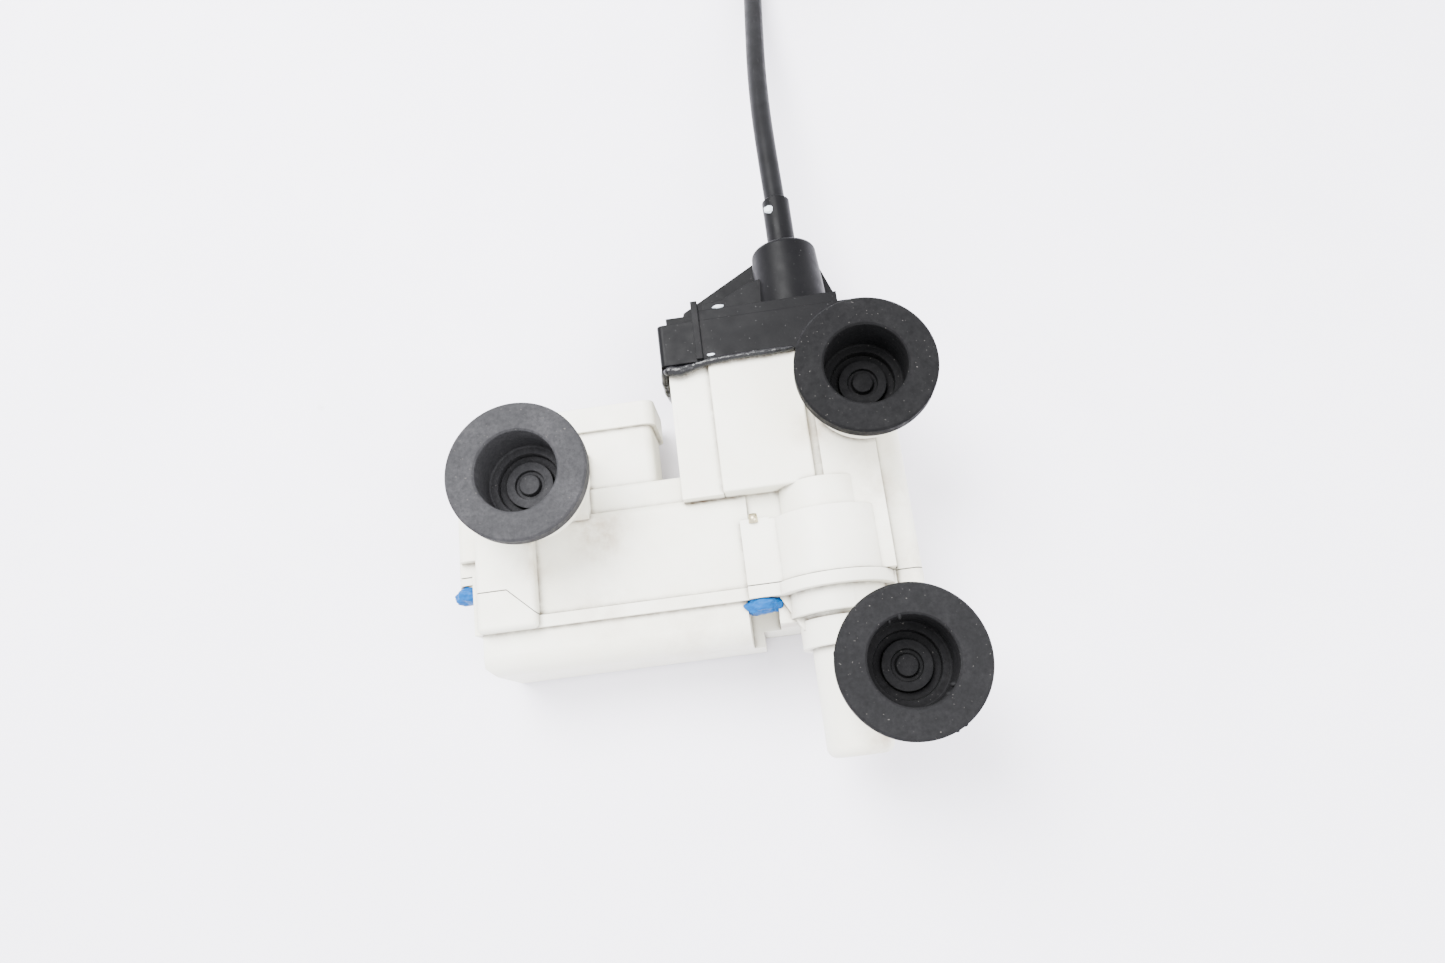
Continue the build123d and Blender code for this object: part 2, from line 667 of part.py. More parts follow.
def make_wheel():
    """The plastic worm wheel, bored for its brass nut."""
    foot = WORM_Y - WHEEL_FACE / 2
    pitch_r = MODULE * WHEEL_TEETH / 2
    wheel_lead = 2 * pi * pitch_r / (WORM_LEAD / (2 * pi * WORM_PITCH_R))
    half_twist = 180 * WHEEL_FACE / wheel_lead
    near = Plane(origin=(0, foot, SPINDLE_Z), x_dir=(-1, 0, 0), z_dir=(0, 1, 0))
    far = near.offset(WHEEL_FACE)
    ends = [tooth_section(near, -half_twist).outer_wire(), tooth_section(far, half_twist).outer_wire()]
    tooth = Solid.make_loft(ends, True)
    axis = Axis((0, 0, SPINDLE_Z), (0, 1, 0))
    with BuildPart() as wheel:
        rod_y((foot, foot + WHEEL_FACE), pitch_r - 1.2 * MODULE)
        for n in range(WHEEL_TEETH):
            add(tooth.rotate(axis, 360 * n / WHEEL_TEETH))
        rod_y((foot - 1, foot + WHEEL_FACE + 1), NUT_R, Mode.SUBTRACT)
    save(wheel, "worm_wheel")


def spindle_section(plane, turn, root, tip, ridge_share):
    """A multi-start screw cut square to its axis: a root circle with one ridge for each start."""
    half = 180 * ridge_share / SPINDLE_STARTS
    with BuildSketch(plane) as section:
        Circle(root)
        for start in range(SPINDLE_STARTS):
            middle = turn + 360 * start / SPINDLE_STARTS
            edge_a, edge_b = radians(middle - half), radians(middle + half)
            with BuildLine():
                Line((0, 0), (tip * cos(edge_a), tip * sin(edge_a)))
                CenterArc((0, 0), tip, middle - half, 2 * half)
                Line((tip * cos(edge_b), tip * sin(edge_b)), (0, 0))
            make_face()
    return section.sketch.faces()[0]


def thread_along(y, root, tip, ridge_share):
    """The spindle's screw thread between two heights, in phase wherever it is cut."""
    plane = Plane(origin=(0, y[0], SPINDLE_Z), x_dir=(-1, 0, 0), z_dir=(0, 1, 0))
    section = spindle_section(plane, 360 * y[0] / SPINDLE_LEAD, root, tip, ridge_share)
    return twisted(section, plane, y[1] - y[0], SPINDLE_LEAD)


def make_nut():
    """The threaded brass nut that the wheel is moulded on."""
    play_share = 2 * THREAD_PLAY * SPINDLE_STARTS / SPINDLE_LEAD
    cutter = thread_along(
        (NUT_SPAN[0] - 1, NUT_SPAN[1] + 1),
        SPINDLE_ROOT_R + THREAD_PLAY,
        SPINDLE_R + THREAD_PLAY,
        RIDGE_SHARE + play_share,
    )
    with BuildPart() as nut:
        rod_y(NUT_SPAN, NUT_R)
        add(cutter, mode=Mode.SUBTRACT)
    save(nut, "wheel_nut")


def make_bearings():
    """The ball bearing and the plain bush that carry the wheel and its nut."""
    ring_y((11, 16), NUT_R, 7.4, "wheel_bearing_inner")
    ring_y((11, 16), 9.1, 10.5, "wheel_bearing_outer")
    balls, track_r, ball_r = 9, 8.25, 0.82
    with BuildPart() as ball_set:
        for n in range(balls):
            angle = 2 * pi * n / balls
            with Locations((track_r * cos(angle), 13.5, SPINDLE_Z + track_r * sin(angle))):
                Sphere(ball_r)
    save(ball_set, "bearing_balls")
    ring_y((-3, 1.6), NUT_R + RUNNING, 8.0, "nut_bush")
    ring_y((1.65, 1.95), NUT_R + 0.1, 8.6, "thrust_washer")


def make_spindle():
    """The spindle, the crosshead pinned to it, the position magnet and the wire it pulls."""
    screw = thread_along((-14, 36), SPINDLE_ROOT_R, SPINDLE_R, RIDGE_SHARE)
    with BuildPart() as spindle:
        add(screw)
        rod_y((-16, -14), SPINDLE_ROOT_R - 0.4)
        rod_y((36, 45), 3.0)
        rod((0, 41, SPINDLE_Z - 4), (0, 41, SPINDLE_Z + 4), 1.0, Mode.SUBTRACT)
    save(spindle, "spindle")

    body = soft_block((-7, 7), CROSSHEAD, (SPINDLE_Z - 5, SPINDLE_Z + 4.2), 1, Axis.Y)
    with BuildPart() as crosshead:
        add(body)
        block((-2, 2), CROSSHEAD, (SPINDLE_Z + 4, 30.0))
        rod_y((37, 45), 3.0, Mode.SUBTRACT)
        rod_y((45.5, 51), 2.3, Mode.SUBTRACT)
        rod((0, 41, SPINDLE_Z - 6), (0, 41, SPINDLE_Z + 6), 1.0, Mode.SUBTRACT)
        rod((-8, 44, SPINDLE_Z), (-5, 44, SPINDLE_Z), 2.0, Mode.SUBTRACT)
    save(crosshead, "crosshead")

    with BuildPart() as pin:
        rod((0, 41, SPINDLE_Z - 5), (0, 41, SPINDLE_Z + 5.4), 1.0)
    save(pin, "crosshead_pin")
    with BuildPart() as magnet:
        rod((-7, 44, SPINDLE_Z), (-5, 44, SPINDLE_Z), 2.0)
    save(magnet, "position_magnet")
    with BuildPart() as wire:
        rod_y((45.5, 106), WIRE_R)
    save(wire, "pull_wire")
    ring_y((45.5, 49.5), WIRE_R, 2.3, "wire_barrel")
    with BuildPart() as track:
        block((-5, 5), (18, 58), (29, 31))
        block((-2.1, 2.1), (17, 59), (28, 30.15), Mode.SUBTRACT)
    save(track, "guide_track")
    with BuildPart() as buffer:
        rod_y((-42, -36.6), 6.2)
        rod_y((-39, -36), 2.0, Mode.SUBTRACT)
    save(buffer, "end_stop_buffer")


# ---- Cable ----------------------------------------------------------------------------------


def corner_radius(before, point, after):
    """The largest arc that two runs of the route allow at a corner, with room for the next one."""
    into, out = Vector(*point) - Vector(*before), Vector(*after) - Vector(*point)
    half_turn = radians(into.get_angle(out)) / 2
    return 0.45 * min(into.length, out.length) / tan(half_turn)


def make_cable():
    """The sheathed cable: exit sleeve, free stretch, coil, and the ferrule at its far end."""
    with BuildPart() as sleeve:
        rod_y((90, SLEEVE_END), SLEEVE_R)
        chamfer(sleeve.edges().filter_by(GeomType.CIRCLE).sort_by(Axis.Y)[-1], 0.5)
        rod_y((89, SLEEVE_END), WIRE_R + 0.25, Mode.SUBTRACT)
        rod_y((110, SLEEVE_END + 1), CONDUIT_R, Mode.SUBTRACT)
    save(sleeve, "conduit_sleeve")

    radii = [corner_radius(*ROUTE[n - 1 : n + 2]) for n in range(1, len(ROUTE) - 1)]
    print("conduit radii:", [round(radius) for radius in radii])
    with BuildPart() as conduit:
        with BuildLine() as path:
            FilletPolyline(*ROUTE, radius=radii)
        with BuildSketch(Plane(origin=path.line @ 0, z_dir=path.line % 0)):
            Circle(CONDUIT_R)
        sweep(path=path.line)
    save(conduit, "conduit")

    with BuildPart() as coil:
        with BuildSketch(Plane.XZ):
            with Locations((COIL_MEAN_R, COIL_HEIGHT / 2)):
                SlotOverall(COIL_HEIGHT, 2 * CONDUIT_R, rotation=90)
        revolve(axis=Axis.Z)
    coil.part = coil.part.moved(Location((*COIL_CENTRE, 0)))
    save(coil, "conduit_coil")


def far_end(distance):
    """A point on the straight that leaves the coil, so far past the point where it leaves."""
    angle = pi - 2 * pi * COIL_TURNS
    leave = Vector(cos(angle), sin(angle), 0) * COIL_MEAN_R
    heading = Vector(sin(angle), -cos(angle), 0)
    point = Vector(*COIL_CENTRE, COIL_HEIGHT - CONDUIT_R) + leave + heading * distance
    return (point.X, point.Y, point.Z)


def make_far_end():
    """The long ferrule on the far end of the conduit, with the wire's free end and its nipple."""
    with BuildPart() as ferrule:
        rod(far_end(FERRULE_START), far_end(FERRULE_TIP), FERRULE_R)
        rod(far_end(FERRULE_TIP - 8), far_end(FERRULE_TIP - 6), FERRULE_R + 1.2)
        rod(far_end(COIL_CLEAR - 0.5), far_end(FERRULE_TIP + 1), WIRE_R + 0.25, Mode.SUBTRACT)
    save(ferrule, "conduit_ferrule")
    reach = FERRULE_TIP + TRAVEL + END_TRAVEL_GAP
    with BuildPart() as wire_tip:
        rod(far_end(COIL_CLEAR + TRAVEL), far_end(reach), WIRE_R)
    save(wire_tip, "wire_tip")
    with BuildPart() as nipple:
        rod(far_end(reach), far_end(reach + 6), 2.6)
        rod(far_end(reach + 4.4), far_end(reach + 6), 3.4)
    save(nipple, "end_nipple")


make_housing()
make_cable_cap()
make_cap_sealant()
for side, place in BUSHES.items():
    make_bush(f"bush_{side}", place)
make_screws()
make_connector()
make_electronics()
make_motor_frame()
make_rotor()
make_worm()
make_wheel()
make_nut()
make_bearings()
make_spindle()
make_cable()
make_far_end()
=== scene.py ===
"""Looks of the motorised cable-pull actuator: materials, cable, sealant, paint marks, light and camera."""

import json
import math

import bmesh
import bpy
from mathutils import Matrix, Vector, noise

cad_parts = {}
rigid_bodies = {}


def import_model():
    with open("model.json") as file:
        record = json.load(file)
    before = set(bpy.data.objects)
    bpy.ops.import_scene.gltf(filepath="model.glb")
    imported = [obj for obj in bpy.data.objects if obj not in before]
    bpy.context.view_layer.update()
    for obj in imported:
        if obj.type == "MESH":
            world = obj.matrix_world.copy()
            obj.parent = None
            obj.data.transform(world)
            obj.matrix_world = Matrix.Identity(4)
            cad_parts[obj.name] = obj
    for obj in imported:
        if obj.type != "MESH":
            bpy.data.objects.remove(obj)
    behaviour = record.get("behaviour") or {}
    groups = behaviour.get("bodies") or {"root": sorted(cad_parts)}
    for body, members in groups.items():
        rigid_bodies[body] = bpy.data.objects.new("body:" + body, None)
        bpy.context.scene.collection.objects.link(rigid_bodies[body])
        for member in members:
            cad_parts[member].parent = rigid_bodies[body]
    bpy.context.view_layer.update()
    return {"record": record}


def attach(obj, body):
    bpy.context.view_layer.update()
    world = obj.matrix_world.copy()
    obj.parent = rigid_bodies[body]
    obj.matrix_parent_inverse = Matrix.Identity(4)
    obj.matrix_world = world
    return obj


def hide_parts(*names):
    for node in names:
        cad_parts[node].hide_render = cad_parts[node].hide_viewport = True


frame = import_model()

MM = 0.001

# The lower bush's axis, in millimetres
BUSH_LOWER = (13.7, -25.0)
# Torn crumbs: bearing in degrees, distance from that axis, height and half sizes, in millimetres
TEARS = (
    (98, 10.7, 51.2, (0.5, 1.1, 0.7)),
    (112, 10.4, 50.2, (0.4, 0.8, 1.1)),
    (-38, 10.3, 50.6, (1.0, 0.6, 0.9)),
    (-52, 10.6, 51.4, (0.7, 0.5, 0.5)),
    (-60, 17.7, 50.3, (0.9, 0.5, 0.6)),
    (-66, 17.8, 49.2, (0.6, 0.6, 0.9)),
    (168, 17.7, 50.8, (0.5, 0.8, 0.5)),
)

# Drops of paint and glue: centre and half sizes, in millimetres
LEFT_PAINT = (
    ((-96.8, 8.4, 23.4), (4.3, 2.4, 4.4)),
    ((-94.6, 8.2, 25.2), (2.6, 1.8, 2.6)),
)
MIDDLE_PAINT = (
    ((-19.4, -4.6, 27.6), (4.6, 2.4, 3.9)),
    ((-15.9, -4.7, 27.0), (2.2, 1.8, 3.0)),
)
SLEEVE_GLUE = (((-2.2, 109.6, 27.9), (1.6, 1.3, 0.5)),)
CAP_GLUE = (
    ((-20.5, 77.4, 35.5), (1.5, 0.5, 0.35)),
    ((-24.0, 63.5, 35.5), (1.2, 0.4, 0.3)),
)

# Sealant beads: points of X, Y, Z and radius, in millimetres
FRONT_BEAD = (
    (-37.0, 61.2, 33.4, 0.9),
    (-36.0, 61.0, 34.0, 1.7),
    (-33.0, 60.6, 34.2, 1.5),
    (-29.0, 61.3, 34.4, 1.1),
    (-25.6, 61.6, 35.2, 1.0),
    (-18.0, 61.9, 35.7, 0.8),
    (-9.0, 62.0, 35.6, 0.9),
    (-2.5, 62.1, 35.5, 0.7),
    (-1.6, 62.2, 35.0, 0.4),
)
SIDE_BEAD = (
    (-37.2, 61.6, 33.2, 0.9),
    (-37.6, 60.2, 29.0, 1.3),
    (-37.7, 59.4, 22.0, 1.2),
    (-37.4, 60.2, 14.0, 1.0),
    (-37.2, 60.8, 7.0, 0.8),
)

# The stub of screw: its centre, radii at its two ends and length, in millimetres
STUB_CENTRE = (-18.6, 17.6, 31.6)
STUB_TIP_R, STUB_ROOT_R, STUB_LENGTH = 1.1, 1.3, 2.4

# The cable's route in metres, as the CAD has it, then a helix for the stored turns
CONDUIT_R = 0.003
ROUTE = (
    (0.0, 0.110, 0.0245),
    (-0.0004, 0.134, 0.0236),
    (0.0003, 0.160, 0.0196),
    (0.0024, 0.186, 0.0134),
    (0.0046, 0.211, 0.0063),
    (0.0050, 0.234, 0.0032),
)
COIL_CENTRE = (0.0382, 0.249)
COIL_R, COIL_TURNS, TURN_POINTS = 0.033, 1.25, 16
CLIMB_DELAY, CLIMB_MARGIN = 2, 6  # points laid flat before the coil climbs, and in all
FERRULE_START = 0.010
COIL_EXIT, FERRULE_COVER = 0.004, 0.002

# Floor, lamps and camera, in metres; the lamps' powers in watts
FLOOR_HALF = 1.6
SURROUND_STRENGTH = 3.5
LAMPS = (  # name, place, diameter and power
    ("key", (-0.35, 0.45, 0.9), 0.7, 36.0),
    ("fill", (0.55, -0.35, 0.8), 0.8, 12.0),
)
LAMPS_AIM = (0, 0.05, 0)
CAMERA_PLACE = (-0.01455, -0.04112, 0.27294)
CAMERA_RIGHT, CAMERA_BACK = (0.9899, -0.1183, -0.0785), (0.0429, -0.2778, 0.9597)
LENS_MM, SENSOR_MM = 23.67, 36.0


# ---- Shader helpers -------------------------------------------------------------------------


class Shader:
    """A procedural material over one principled shader, worked in object coordinates."""

    def __init__(self, name, roughness=0.5, metallic=0.0, **sockets):
        self.material = bpy.data.materials.new(name)
        self.material.use_nodes = True
        self.tree = self.material.node_tree
        self.bsdf = self.tree.nodes["Principled BSDF"]
        self.bsdf.inputs["Roughness"].default_value = roughness
        self.bsdf.inputs["Metallic"].default_value = metallic
        for socket, value in sockets.items():
            self.bsdf.inputs[socket.replace("_", " ")].default_value = value
        self.where = self.node("ShaderNodeTexCoord").outputs["Object"]
        self.normal = None

    def node(self, kind, **settings):
        made = self.tree.nodes.new(kind)
        for key, value in settings.items():
            setattr(made, key, value)
        return made

    def link(self, source, target):
        self.tree.links.new(source, target)

    def noise(self, scale, detail=4.0, rough=0.55, stretch=None):
        """A noise field whose features are about 1/scale metres wide."""
        texture = self.node("ShaderNodeTexNoise")
        texture.inputs["Scale"].default_value = scale
        texture.inputs["Detail"].default_value = detail
        texture.inputs["Roughness"].default_value = rough
        where = self.where
        if stretch:
            mapping = self.node("ShaderNodeMapping")
            mapping.inputs["Scale"].default_value = stretch
            self.link(self.where, mapping.inputs["Vector"])
            where = mapping.outputs["Vector"]
        self.link(where, texture.inputs["Vector"])
        return texture.outputs["Fac"]

    def span(self, source, low, high, to_low=0.0, to_high=1.0):
        """A field rescaled from one span to another, and clamped."""
        scaled = self.node("ShaderNodeMapRange")
        sockets = ("From Min", "From Max", "To Min", "To Max")
        for socket, value in zip(sockets, (low, high, to_low, to_high)):
            scaled.inputs[socket].default_value = value
        self.link(source, scaled.inputs["Value"])
        return scaled.outputs["Result"]

    def times(self, a, b):
        product = self.node("ShaderNodeMath", operation="MULTIPLY", use_clamp=True)
        self.link(a, product.inputs[0])
        self.link(b, product.inputs[1])
        return product.outputs[0]

    def most(self, a, b):
        larger = self.node("ShaderNodeMath", operation="MAXIMUM")
        self.link(a, larger.inputs[0])
        self.link(b, larger.inputs[1])
        return larger.outputs[0]

    def near(self, point, reach):
        """1 at a point in millimetres, falling to 0 at its reach."""
        away = self.node("ShaderNodeVectorMath", operation="DISTANCE")
        away.inputs[1].default_value = [c * MM for c in point]
        self.link(self.where, away.inputs[0])
        return self.span(away.outputs["Value"], reach * MM * 0.25, reach * MM, 1.0, 0.0)

    def crevice(self, reach, low=0.35, high=0.85):
        """1 deep in a corner or seam, 0 in the open."""
        occlusion = self.node("ShaderNodeAmbientOcclusion", samples=8)
        occlusion.inputs["Distance"].default_value = reach * MM
        return self.span(occlusion.outputs["AO"], low, high, 1.0, 0.0)

    def mix(self, factor, a, b):
        """Colour a where the factor is 0 and colour b where it is 1."""
        mixed = self.node("ShaderNodeMix", data_type="RGBA")
        self.link(factor, mixed.inputs["Factor"])
        for value, socket in ((a, mixed.inputs["A"]), (b, mixed.inputs["B"])):
            if isinstance(value, tuple):
                socket.default_value = (*value, 1.0)
            else:
                self.link(value, socket)
        return mixed.outputs["Result"]

    def round_edges(self, radius):
        bevel = self.node("ShaderNodeBevel", samples=4)
        bevel.inputs["Radius"].default_value = radius * MM
        self.normal = bevel.outputs["Normal"]

    def bump(self, height, depth, strength=1.0):
        """Adds relief, its depth in millimetres."""
        relief = self.node("ShaderNodeBump")
        relief.inputs["Distance"].default_value = depth * MM
        relief.inputs["Strength"].default_value = strength
        self.link(height, relief.inputs["Height"])
        if self.normal:
            self.link(self.normal, relief.inputs["Normal"])
        self.normal = relief.outputs["Normal"]

    def done(self, color, roughness=None):
        self.link(color, self.bsdf.inputs["Base Color"])
        if roughness:
            self.link(roughness, self.bsdf.inputs["Roughness"])
        if self.normal:
            self.link(self.normal, self.bsdf.inputs["Normal"])
        return self.material


# ---- Materials ------------------------------------------------------------------------------


STAINS = (  # place in millimetres, reach and strength of each brownish stain
    ((-60, 20, 30), 11, 0.7),
    ((-76, 12, 33), 7, 0.45),
    ((-76.5, 20, 33), 5, 0.8),
    ((9, -41, 30), 12, 0.6),
    ((3, -44, 26), 9, 0.5),
    ((16, 22, 30), 16, 0.35),
    ((1, 40, 33), 9, 0.5),
    ((-14, -9, 24), 9, 0.5),
    ((-36, -12, 24), 26, 0.22),
    ((-60, 0, 30), 12, 0.3),
    ((20, 2, 27), 8, 0.5),
    ((-44, 48, 20), 8, 0.3),
)


def ivory_plastic():
    """The handled ivory case: faint yellowing, painted dark brown shade in seams and corners, stains and
    fine grain.
    """
    s = Shader("ivory_case", Subsurface_Weight=0.06, Subsurface_Scale=0.0015)
    s.bsdf.inputs["Subsurface Radius"].default_value = (1.0, 0.85, 0.6)
    s.round_edges(0.35)
    clean = s.mix(s.span(s.noise(38), 0.35, 0.7), (0.780, 0.770, 0.690), (0.725, 0.705, 0.605))
    cloudy = s.span(s.noise(120, 6, 0.65), 0.42, 0.66)
    stain = None
    for point, reach, strength in STAINS:
        spot = s.near(point, reach)
        faded = s.span(spot, 0.0, 1.0, 0.0, strength)
        stain = faded if stain is None else s.most(stain, faded)
    stained = s.mix(s.times(stain, cloudy), clean, (0.330, 0.235, 0.140))
    # Painted shade: dark brown wherever ambient occlusion finds a seam or inside corner, broken up by noise.
    occlusion_shade_mask = s.times(s.crevice(1.8, 0.40, 0.92), s.span(s.noise(300, 5, 0.7), 0.3, 0.6, 0.35, 1.0))
    occlusion_shaded = s.mix(occlusion_shade_mask, stained, (0.090, 0.062, 0.036))
    scuffs = s.span(s.noise(500, 3, 0.6, (1.0, 0.12, 1.0)), 0.69, 0.76, 0.0, 0.35)
    color = s.mix(scuffs, occlusion_shaded, (0.560, 0.535, 0.480))
    s.bump(s.noise(2600, 2), 0.012)
    s.bump(s.noise(90, 3), 0.08, 0.5)
    return s.done(color, s.span(s.noise(200), 0.3, 0.7, 0.36, 0.55))


def black_plastic():
    """The black moulded cap: satin, with dust in its corners and a few pale specks."""
    s = Shader("black_cap_plastic", Specular_IOR_Level=0.07)
    s.round_edges(0.3)
    base = s.mix(s.span(s.noise(70), 0.35, 0.7), (0.002, 0.002, 0.0025), (0.0045, 0.0045, 0.005))
    dust = s.times(s.crevice(3.0, 0.3, 0.9), s.span(s.noise(700, 4, 0.7), 0.5, 0.72, 0.0, 0.5))
    dusty = s.mix(dust, base, (0.035, 0.034, 0.032))
    specks = s.span(s.noise(1900, 1), 0.76, 0.79, 0.0, 0.7)
    s.bump(s.noise(2400, 2), 0.014)
    color = s.mix(specks, dusty, (0.080, 0.080, 0.080))
    return s.done(color, s.span(s.noise(260), 0.3, 0.7, 0.32, 0.5))


def bush_rubber(name, tone):
    """Matt moulded rubber with a mottled dusty bloom, paler with a higher tone, painted shade deep in its
    bore and hollows, and sparse pale specks.
    """
    s = Shader(name, Specular_IOR_Level=0.06)
    s.round_edges(0.35)
    mottled = s.span(s.noise(900, 8, 0.8), 0.30, 0.74)
    dark_tone, pale_tone = ((0.006, 0.006, 0.0065), (0.012, 0.012, 0.0127))
    base = s.mix(mottled, tuple(c * tone for c in dark_tone), tuple(c * tone for c in pale_tone))
    bloom = s.span(s.noise(95, 5, 0.7), 0.45, 0.72, 0.0, 0.55)
    bloomed = s.mix(s.times(bloom, mottled), base, tuple(c * tone for c in (0.022, 0.0215, 0.0228)))
    # Painted shade: near black deep in the bore and hollows, wherever ambient occlusion is high.
    dark = s.mix(s.crevice(7.0, 0.10, 0.60), bloomed, (0.003, 0.003, 0.003))
    specks = s.span(s.noise(1700, 1), 0.75, 0.78, 0.0, 0.7)
    s.bump(s.noise(900, 6, 0.7), 0.10)
    s.bump(s.noise(150, 3), 0.12, 0.5)
    return s.done(s.mix(specks, dark, (0.090, 0.086, 0.080)), s.span(s.noise(500, 5), 0.3, 0.7, 0.55, 0.8))


def conduit_sheath():
    """The smooth extruded sheath, faintly streaked along Y."""
    s = Shader("conduit_sheath_skin", Specular_IOR_Level=0.08)
    base = s.mix(s.span(s.noise(160, 5), 0.35, 0.7), (0.0035, 0.0035, 0.004), (0.007, 0.007, 0.008))
    rubbed = s.span(s.noise(900, 4, 0.6, (1.0, 0.08, 1.0)), 0.62, 0.75, 0.0, 0.4)
    s.bump(s.noise(1800, 3, 0.5, (1.0, 0.2, 1.0)), 0.02)
    return s.done(s.mix(rubbed, base, (0.020, 0.020, 0.022)), s.span(s.noise(300), 0.3, 0.7, 0.36, 0.5))


def glossy_sealant():
    """The glossy black bead, with grit caught in it."""
    s = Shader("sealant_bead", Specular_IOR_Level=0.3, Coat_Weight=0.08, Coat_Roughness=0.08)
    grit = s.span(s.noise(1300, 2), 0.73, 0.78)
    s.bump(s.noise(500, 4, 0.6), 0.25)
    s.bump(s.noise(2200, 3), 0.03)
    color = s.mix(grit, (0.004, 0.004, 0.005), (0.16, 0.165, 0.17))
    return s.done(color, s.span(s.noise(240), 0.3, 0.7, 0.12, 0.3))


def blue_paint():
    """The thick blue witness paint on the screw heads."""
    s = Shader("witness_paint", Specular_IOR_Level=0.08)
    color = s.mix(s.span(s.noise(420, 4), 0.3, 0.7), (0.0002, 0.062, 0.235), (0.0004, 0.090, 0.300))
    s.bump(s.noise(700, 3), 0.12)
    return s.done(color, s.span(s.noise(500), 0.3, 0.7, 0.28, 0.45))


def metal(name, light, dark, rough, grain=(1.0, 1.0, 0.15)):
    """A machined or plated metal with fine directional marks and dull patches."""
    s = Shader(name, metallic=1.0)
    s.round_edges(0.15)
    color = s.mix(s.span(s.noise(220, 5), 0.35, 0.7), light, dark)
    s.bump(s.noise(2500, 3, 0.6, grain), 0.015)
    return s.done(color, s.span(s.noise(700, 4, 0.6, grain), 0.3, 0.7, rough * 0.75, rough * 1.25))


def moulded(name, light, dark, rough):
    """A plain moulded or sintered inner piece with a little grain and tone."""
    s = Shader(name)
    s.round_edges(0.15)
    color = s.mix(s.span(s.noise(260, 5), 0.35, 0.7), light, dark)
    s.bump(s.noise(1700, 4), 0.03)
    return s.done(color, s.span(s.noise(500), 0.3, 0.7, rough * 0.85, min(1.0, rough * 1.15)))


def windings():
    """Enamelled copper wire, its turns shown as fine ridges along the motor's axis."""
    s = Shader("copper_turns", metallic=0.9)
    ridges = s.node("ShaderNodeTexWave", bands_direction="Y")
    ridges.inputs["Scale"].default_value = 700
    ridges.inputs["Distortion"].default_value = 1.5
    s.link(s.where, ridges.inputs["Vector"])
    s.bump(ridges.outputs["Fac"], 0.15)
    color = s.mix(s.span(s.noise(300), 0.3, 0.7), (0.52, 0.19, 0.07), (0.68, 0.30, 0.12))
    return s.done(color, s.span(s.noise(600), 0.3, 0.7, 0.25, 0.4))


def circuit_board():
    """Green solder mask with copper tracks just showing through."""
    s = Shader("solder_mask")
    tracks = s.node("ShaderNodeTexBrick", offset=0.0)
    tracks.inputs["Scale"].default_value = 240
    tracks.inputs["Mortar Size"].default_value = 0.06
    s.link(s.where, tracks.inputs["Vector"])
    track = s.span(tracks.outputs["Fac"], 0.0, 1.0, 0.0, 0.6)
    color = s.mix(track, (0.008, 0.085, 0.030), (0.030, 0.190, 0.060))
    s.bump(track, 0.05)
    return s.done(color, s.span(s.noise(900), 0.3, 0.7, 0.28, 0.4))


FINISHES = {
    "ivory_plastic": ivory_plastic(),
    "black_plastic": black_plastic(),
    "bush_rubber": bush_rubber("rubber_dark", 1.0),
    "sealant": glossy_sealant(),
    "conduit_sheath": conduit_sheath(),
    "steel": metal("turned_steel", (0.56, 0.56, 0.57), (0.42, 0.42, 0.43), 0.32),
    "zinc": metal("yellow_zinc", (0.62, 0.57, 0.42), (0.46, 0.40, 0.27), 0.38),
    "can_steel": metal("plated_can", (0.50, 0.51, 0.53), (0.40, 0.41, 0.43), 0.42),
    "brass": metal("machined_brass", (0.72, 0.50, 0.20), (0.58, 0.38, 0.14), 0.30),
    "magnet": moulded("ferrite", (0.060, 0.060, 0.063), (0.035, 0.035, 0.037), 0.7),
    "bronze": metal("sintered_bronze", (0.42, 0.28, 0.15), (0.32, 0.20, 0.10), 0.5, (1.0, 1.0, 1.0)),
    "copper": windings(),
    "carbon": moulded("brush_carbon", (0.045, 0.045, 0.047), (0.022, 0.022, 0.023), 0.65),
    "pom": moulded("acetal", (0.74, 0.72, 0.64), (0.66, 0.64, 0.56), 0.4),
    "board": circuit_board(),
    "chip": moulded("chip_resin", (0.030, 0.030, 0.032), (0.016, 0.016, 0.017), 0.5),
}
PAINT = blue_paint()
GLUE = moulded("dried_glue", (0.62, 0.66, 0.70), (0.36, 0.40, 0.44), 0.3)
BUSH_FINISH = {
    "bush_left": bush_rubber("rubber_bloomed", 3.2),
    "bush_upper": bush_rubber("rubber_fresh", 0.6),
}


def finish_cad_nodes():
    """Every CAD node gets the procedural material of its slot."""
    for part in frame["record"]["subparts"]:
        node = bpy.data.objects[part["node"]]
        finish = BUSH_FINISH.get(part["node"], FINISHES[part["material_slot"]])
        node.data.materials.clear()
        node.data.materials.append(finish)


# ---- Pieces added in Blender ----------------------------------------------------------------


def mesh_piece(name, mesh, material, body):
    """Puts a finished mesh in the scene as a piece that rides on a body."""
    for face in mesh.faces:
        face.smooth = True
    data = bpy.data.meshes.new(name)
    mesh.to_mesh(data)
    mesh.free()
    piece = bpy.data.objects.new(name, data)
    bpy.context.scene.collection.objects.link(piece)
    data.materials.append(material)
    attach(piece, body)
    return piece


